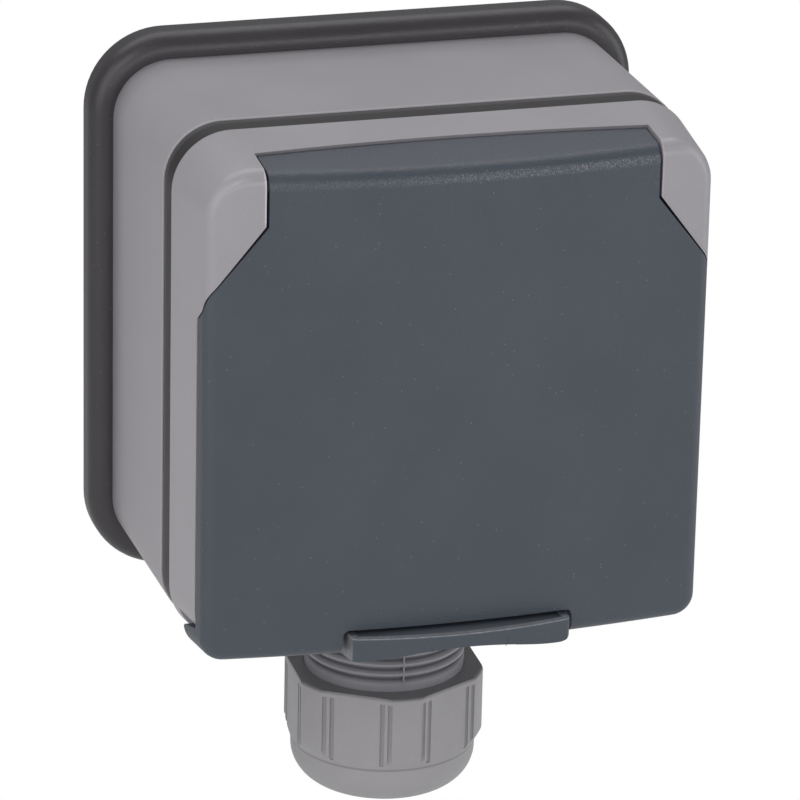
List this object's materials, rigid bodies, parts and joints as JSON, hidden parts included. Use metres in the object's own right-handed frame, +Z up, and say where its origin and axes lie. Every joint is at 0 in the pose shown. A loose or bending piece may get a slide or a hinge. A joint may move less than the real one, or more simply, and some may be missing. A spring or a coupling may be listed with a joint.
{
  "type": "outdoor weatherproof socket",
  "caption": "Surface-mounted weatherproof wall socket: square grey box with a spring-closed dark hinged lid over an earthed outlet, and a cable gland below.",
  "frame": {"origin": "centre of the wall plane behind the box, level with the box's middle", "axes": "+Y into the wall, +Z up, +X to the right seen from the front"},
  "size_m": [0.0982, 0.0723, 0.1346],
  "materials": {
    "housing_grey": "fine spark-eroded texture, warm mid grey",
    "lid_slate": "satin dark slate grey with a fine sparkle",
    "latch_slate": "satin dark slate grey",
    "rubber_grey": "dull dark grey rubber",
    "rubber_black": "dull black rubber",
    "gland_grey": "moulded grey polyamide",
    "insert_grey": "smooth grey socket insert",
    "carrier_white": "pale insulating plastic",
    "shutter_white": "smooth pale plastic",
    "contact_brass": "stamped brass",
    "plated_steel": "zinc-plated steel",
    "spring_steel": "spring steel"
  },
  "bodies": {
    "housing": {"wall_seal": "rubber_grey", "back_box": "housing_grey", "cover_seal": "rubber_black", "front_cover": "housing_grey", "cover_screws": "plated_steel", "insert_screws": "plated_steel", "hinge_pins": "plated_steel", "lid_springs": "spring_steel", "socket_insert": "insert_grey", "shutter_spring": "spring_steel", "contact_base": "carrier_white", "live_contact": "contact_brass", "neutral_contact": "contact_brass", "earth_pin": "contact_brass", "earth_contact": "contact_brass", "terminal_clamps": "contact_brass", "terminal_screws": "plated_steel", "gland_face_seal": "rubber_black", "gland_body": "gland_grey", "gland_locknut": "gland_grey", "gland_sealing_bush": "rubber_black"},
    "lid_body": {"lid": "lid_slate", "lid_seal": "rubber_black", "latch_pin": "plated_steel", "latch_spring": "spring_steel"},
    "latch_body": {"lid_latch": "latch_slate"},
    "shutter_body": {"shutter": "shutter_white"},
    "clamp_ring_body": {"gland_slip_ring": "gland_grey"},
    "nut_body": {"gland_nut": "gland_grey"}
  },
  "joints": [
    {"name": "lid_hinge", "type": "hinge", "parent": "housing", "child": "lid_body", "pos_m": [0, -0.0634, 0.04], "axis": [-1, 0, 0], "range_deg": [0, 110], "stiffness_Nm_per_rad": 0.05, "springref_deg": -57.3},
    {"name": "latch_pivot", "type": "hinge", "parent": "lid_body", "child": "latch_body", "pos_m": [0, -0.0635, -0.0354], "axis": [-1, 0, 0], "range_deg": [0, 5], "stiffness_Nm_per_rad": 0.2, "springref_deg": -17.19},
    {"name": "shutter_slide", "type": "slide", "parent": "housing", "child": "shutter_body", "axis": [0, 0, -1], "range_m": [0, 0.0056], "stiffness_N_per_m": 150, "springref_m": -0.004, "deforming": ["shutter_spring"]},
    {"name": "gland_feed", "type": "slide", "parent": "housing", "child": "clamp_ring_body", "axis": [0, 0, 1], "range_m": [-0.002, 0.0025], "deforming": ["gland_sealing_bush"]},
    {"name": "gland_turn", "type": "hinge", "parent": "clamp_ring_body", "child": "nut_body", "pos_m": [0, -0.0252, -0.0635], "axis": [0, 0, 1], "range_deg": [-481, 601]}
  ],
  "couplings": [
    {"joint": "gland_turn", "follows": "gland_feed", "rad_per_m": 4188.8}
  ]
}
